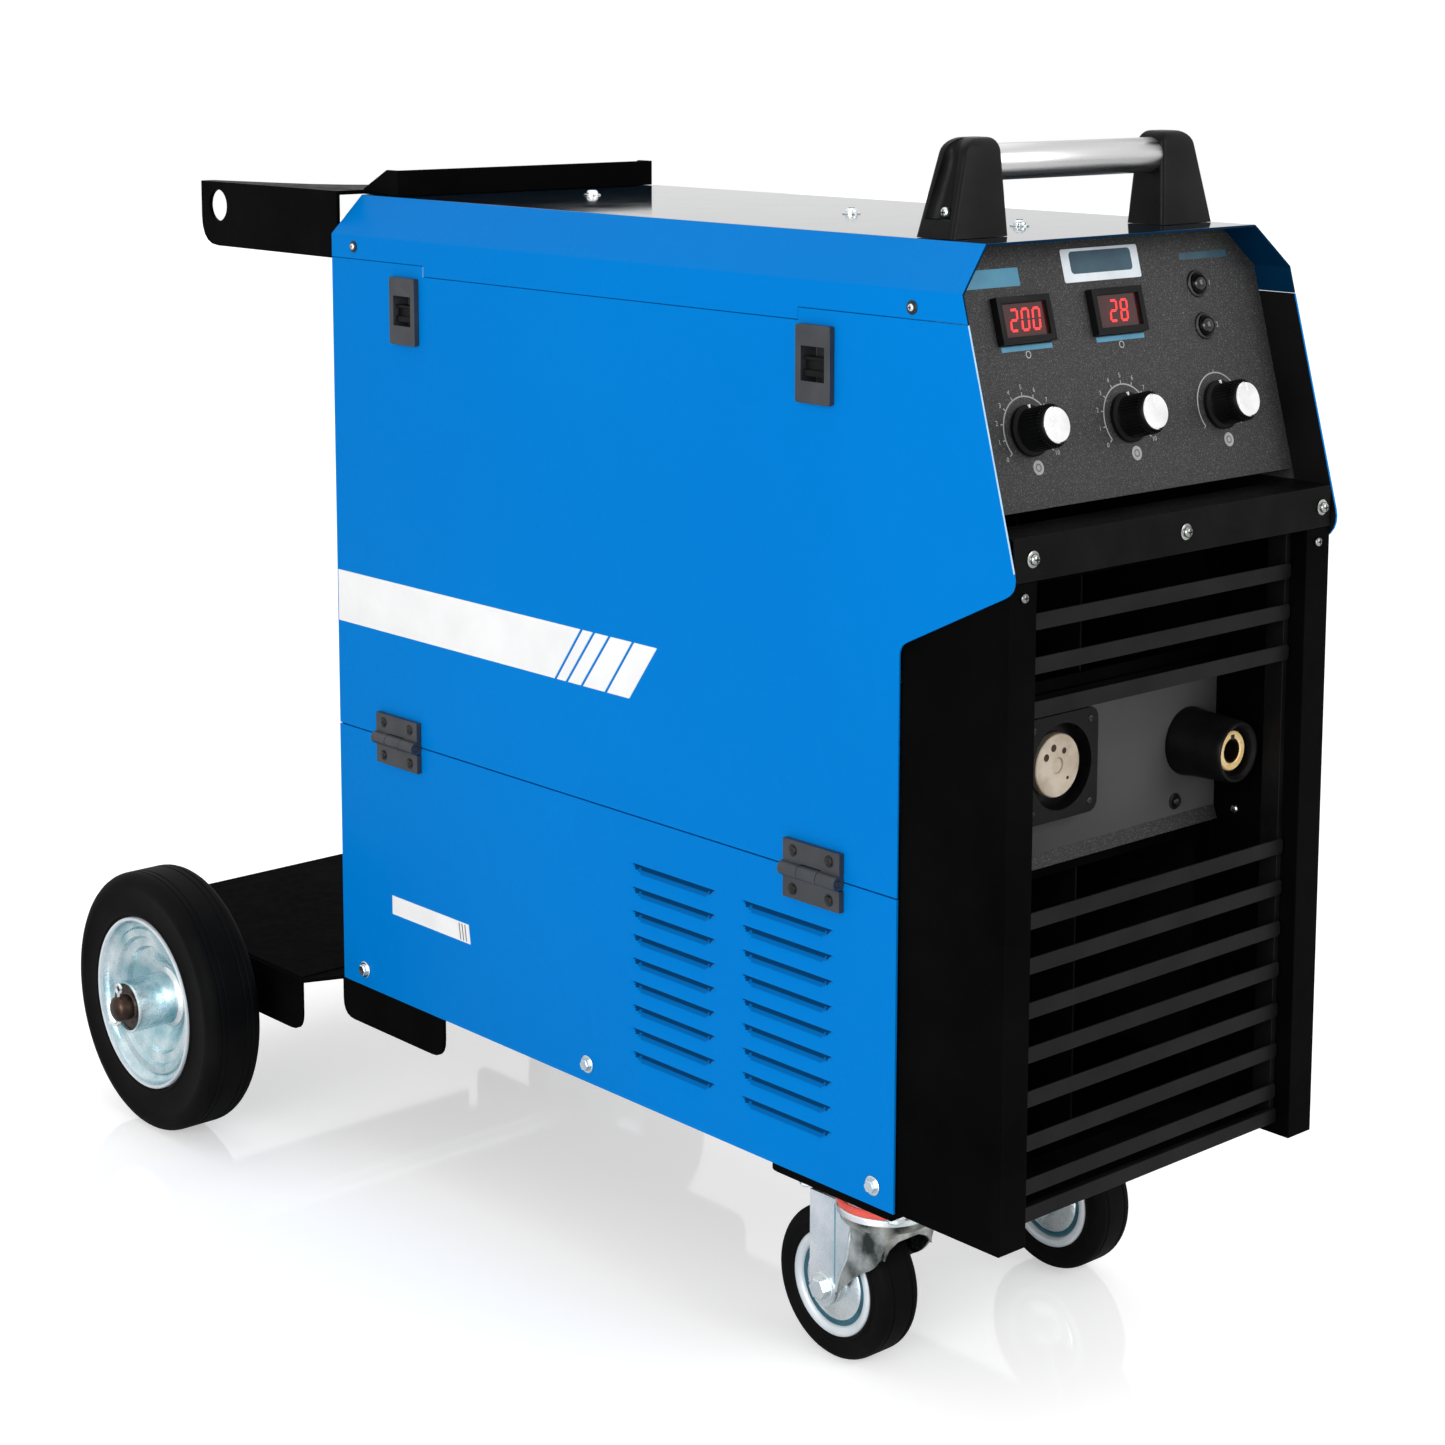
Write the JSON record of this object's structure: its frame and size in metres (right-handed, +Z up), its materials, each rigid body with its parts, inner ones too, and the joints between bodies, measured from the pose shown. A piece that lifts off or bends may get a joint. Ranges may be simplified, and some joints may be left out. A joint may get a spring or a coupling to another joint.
{
  "type": "wire-feed welder",
  "caption": "Cased wire-feed welder on wheels: sloping control panel, hinged wire compartment, louvred sides, top handle, gas-bottle carrier behind.",
  "frame": {"origin": "middle of the footprint's bounding box, on the floor", "axes": "+Z up; -Y is the front with the controls and sockets; -X is the side with the hinged door"},
  "size_m": [0.54, 0.9432, 0.7783],
  "materials": {
    "blue_paint": "glossy",
    "black_powder_coat": "fine satin texture",
    "speckled_panel": "fine textured",
    "black_plastic": "satin",
    "gloss_black_plastic": "glossy",
    "dark_grey_plastic": "satin",
    "zinc": "zinc plated",
    "aluminium": "brushed",
    "brass": "turned",
    "rubber": "matt",
    "core_iron": "varnished core and winding",
    "board": "printed board"
  },
  "bodies": {
    "cabinet": {"base_tray": "black_powder_coat", "left_lower_panel": "blue_paint", "right_side_panel": "blue_paint", "top_cover": "blue_paint", "rear_panel": "black_powder_coat", "divider_wall": "black_powder_coat", "front_frame": "black_powder_coat", "front_grille": "black_powder_coat", "connector_plate": "speckled_panel", "front_crossbar": "black_powder_coat", "torch_socket": "black_plastic", "power_socket": "black_plastic", "control_panel": "speckled_panel", "control_board": "board", "handle_bracket_left": "black_plastic", "handle_bracket_right": "black_plastic", "handle_tube": "aluminium", "bottle_bracket": "black_powder_coat", "rear_carriage": "black_powder_coat", "rear_axle": "zinc", "front_mount_plate": "black_powder_coat", "caster_plate_left": "zinc", "caster_plate_right": "zinc", "hinge_fixed_front": "dark_grey_plastic", "hinge_fixed_rear": "dark_grey_plastic", "spool_hub": "black_plastic", "wire_feeder": "aluminium", "transformer": "core_iron", "heat_sink": "aluminium", "fan_frame": "black_plastic", "mains_switch_body": "black_plastic", "cable_gland": "black_plastic", "gas_inlet": "brass"},
    "door": {"side_door": "blue_paint", "hinge_door_front": "dark_grey_plastic", "hinge_door_rear": "dark_grey_plastic", "latch_body_front": "dark_grey_plastic", "latch_body_rear": "dark_grey_plastic"},
    "latch_slider_front": {"latch_slider_front": "black_plastic"},
    "latch_slider_rear": {"latch_slider_rear": "black_plastic"},
    "rear_wheel_left": {"rear_tyre_left": "rubber", "rear_rim_left": "zinc"},
    "rear_wheel_right": {"rear_tyre_right": "rubber", "rear_rim_right": "zinc"},
    "caster_swivel_left": {"caster_fork_left": "zinc"},
    "caster_swivel_right": {"caster_fork_right": "zinc"},
    "caster_wheel_left": {"caster_wheel_left": "rubber"},
    "caster_wheel_right": {"caster_wheel_right": "rubber"},
    "knob_left": {"knob_left": "black_plastic"},
    "knob_middle": {"knob_middle": "black_plastic"},
    "knob_right": {"knob_right": "black_plastic"},
    "button_upper": {"button_upper": "gloss_black_plastic"},
    "button_lower": {"button_lower": "gloss_black_plastic"},
    "wire_spool": {"wire_spool": "black_plastic"},
    "drive_roll": {"drive_roll": "zinc"},
    "pressure_arm": {"pressure_arm": "black_plastic"},
    "pressure_roll": {"pressure_roll": "zinc"},
    "tension_knob": {"tension_knob": "black_plastic"},
    "fan_rotor": {"fan_rotor": "black_plastic"},
    "mains_switch": {"mains_switch_lever": "gloss_black_plastic"}
  },
  "joints": [
    {"name": "door_hinge", "type": "hinge", "parent": "cabinet", "child": "door", "pos_m": [-0.1547, -0.09536, 0.33], "axis": [0, -1, 0], "range_deg": [0, 150]},
    {"name": "latch_front_slide", "type": "slide", "parent": "door", "child": "latch_slider_front", "axis": [0, 0, -1], "range_m": [0, 0.008], "stiffness_N_per_m": 150, "springref_m": -0.003},
    {"name": "latch_rear_slide", "type": "slide", "parent": "door", "child": "latch_slider_rear", "axis": [0, 0, -1], "range_m": [0, 0.008], "stiffness_N_per_m": 150, "springref_m": -0.003},
    {"name": "rear_wheel_left_spin", "type": "hinge", "parent": "cabinet", "child": "rear_wheel_left", "pos_m": [-0.223, 0.33364, 0.1], "axis": [1, 0, 0], "continuous": true},
    {"name": "rear_wheel_right_spin", "type": "hinge", "parent": "cabinet", "child": "rear_wheel_right", "pos_m": [0.223, 0.33364, 0.1], "axis": [1, 0, 0], "continuous": true},
    {"name": "caster_left_swivel", "type": "hinge", "parent": "cabinet", "child": "caster_swivel_left", "pos_m": [-0.102, -0.32836, 0.112], "axis": [0, 0, 1], "continuous": true},
    {"name": "caster_left_spin", "type": "hinge", "parent": "caster_swivel_left", "child": "caster_wheel_left", "pos_m": [-0.102, -0.29486, 0.05], "axis": [1, 0, 0], "continuous": true},
    {"name": "caster_right_swivel", "type": "hinge", "parent": "cabinet", "child": "caster_swivel_right", "pos_m": [0.102, -0.32836, 0.112], "axis": [0, 0, 1], "continuous": true},
    {"name": "caster_right_spin", "type": "hinge", "parent": "caster_swivel_right", "child": "caster_wheel_right", "pos_m": [0.102, -0.29486, 0.05], "axis": [1, 0, 0], "continuous": true},
    {"name": "knob_left_turn", "type": "hinge", "parent": "cabinet", "child": "knob_left", "pos_m": [-0.088, -0.42414, 0.60935], "axis": [0, -0.9641, 0.2656], "range_deg": [-140, 140]},
    {"name": "knob_middle_turn", "type": "hinge", "parent": "cabinet", "child": "knob_middle", "pos_m": [0, -0.42414, 0.60935], "axis": [0, -0.9641, 0.2656], "range_deg": [-140, 140]},
    {"name": "knob_right_turn", "type": "hinge", "parent": "cabinet", "child": "knob_right", "pos_m": [0.088, -0.42414, 0.60935], "axis": [0, -0.9641, 0.2656], "range_deg": [-140, 140]},
    {"name": "button_upper_press", "type": "slide", "parent": "cabinet", "child": "button_upper", "axis": [0, 0.9641, -0.2656], "range_m": [0, 0.0025], "stiffness_N_per_m": 400, "springref_m": -0.002},
    {"name": "button_lower_press", "type": "slide", "parent": "cabinet", "child": "button_lower", "axis": [0, 0.9641, -0.2656], "range_m": [0, 0.0025], "stiffness_N_per_m": 400, "springref_m": -0.002},
    {"name": "spool_spin", "type": "hinge", "parent": "cabinet", "child": "wire_spool", "pos_m": [-0.0626, -0.02636, 0.5], "axis": [1, 0, 0], "continuous": true},
    {"name": "drive_roll_spin", "type": "hinge", "parent": "cabinet", "child": "drive_roll", "pos_m": [-0.0386, -0.28136, 0.3769], "axis": [1, 0, 0], "continuous": true},
    {"name": "pressure_arm_lift", "type": "hinge", "parent": "cabinet", "child": "pressure_arm", "pos_m": [-0.0426, -0.24336, 0.4175], "axis": [-1, 0, 0], "range_deg": [0, 60]},
    {"name": "pressure_roll_spin", "type": "hinge", "parent": "pressure_arm", "child": "pressure_roll", "pos_m": [-0.0386, -0.28136, 0.4131], "axis": [1, 0, 0], "continuous": true},
    {"name": "tension_knob_turn", "type": "hinge", "parent": "pressure_arm", "child": "tension_knob", "pos_m": [-0.0426, -0.31136, 0.4375], "axis": [0, 0, 1], "range_deg": [-180, 180]},
    {"name": "fan_spin", "type": "hinge", "parent": "cabinet", "child": "fan_rotor", "pos_m": [0.072, 0.17864, 0.27], "axis": [0, 1, 0], "continuous": true},
    {"name": "mains_switch_turn", "type": "hinge", "parent": "cabinet", "child": "mains_switch", "pos_m": [0.092, 0.20564, 0.56], "axis": [0, 1, 0], "range_deg": [0, 90]}
  ],
  "couplings": [
    {"joint": "pressure_roll_spin", "follows": "drive_roll_spin", "ratio": -1.3333}
  ]
}
